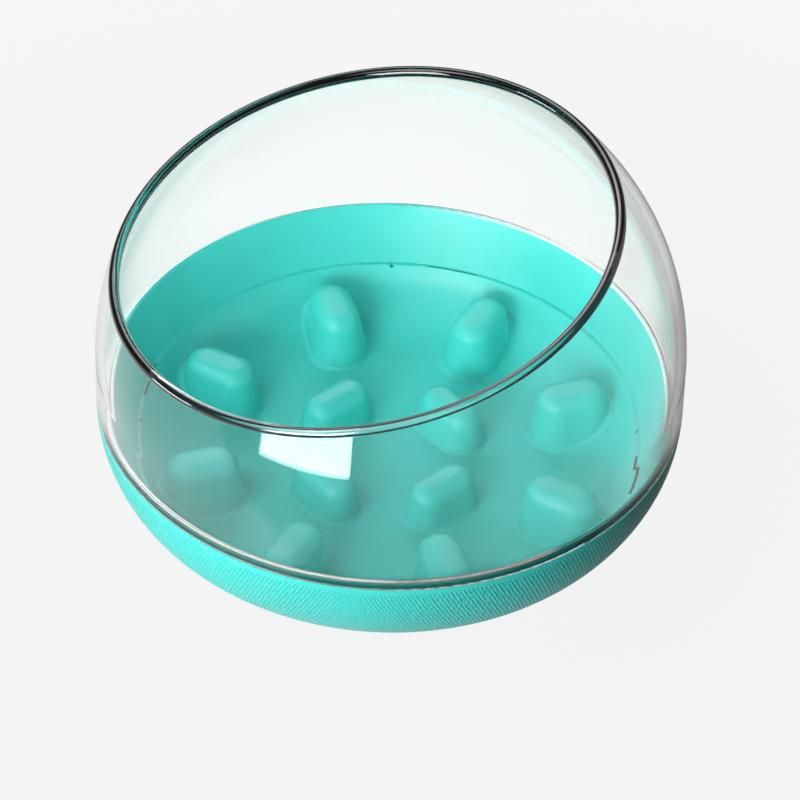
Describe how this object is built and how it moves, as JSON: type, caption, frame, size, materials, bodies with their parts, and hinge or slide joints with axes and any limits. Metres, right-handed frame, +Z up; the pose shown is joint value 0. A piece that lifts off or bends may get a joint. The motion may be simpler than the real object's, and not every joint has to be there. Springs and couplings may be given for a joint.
{
  "type": "wobble treat dispenser",
  "caption": "Round-bottomed, weighted pet food bowl with a pegged slow-feeding tray under a clear ball-shaped cover with a slanted open mouth.",
  "frame": {"origin": "centre of the small flat foot, on the floor", "axes": "+Z up along the base's axis, -Y towards the viewer of the picture, +X to the viewer's right; the mouth leans towards -X and a little towards -Y"},
  "size_m": [0.18, 0.18, 0.132],
  "materials": {
    "turquoise_shell": "satin moulded plastic with a fine hatched grain round the outside",
    "turquoise_tray": "smooth satin moulded plastic",
    "clear_plastic": "clear polished plastic",
    "weight_iron": "plain",
    "screw_steel": "zinc plated"
  },
  "bodies": {
    "base": {"base_shell": "turquoise_shell", "food_tray": "turquoise_tray", "counterweight": "weight_iron", "weight_screw_1": "screw_steel", "weight_screw_2": "screw_steel", "weight_screw_3": "screw_steel"},
    "cover": {"clear_cover": "clear_plastic"}
  },
  "joints": [
    {"name": "cover_lift", "type": "slide", "parent": "base", "child": "cover", "axis": [0, 0, 1], "range_m": [0, 0.06]}
  ]
}
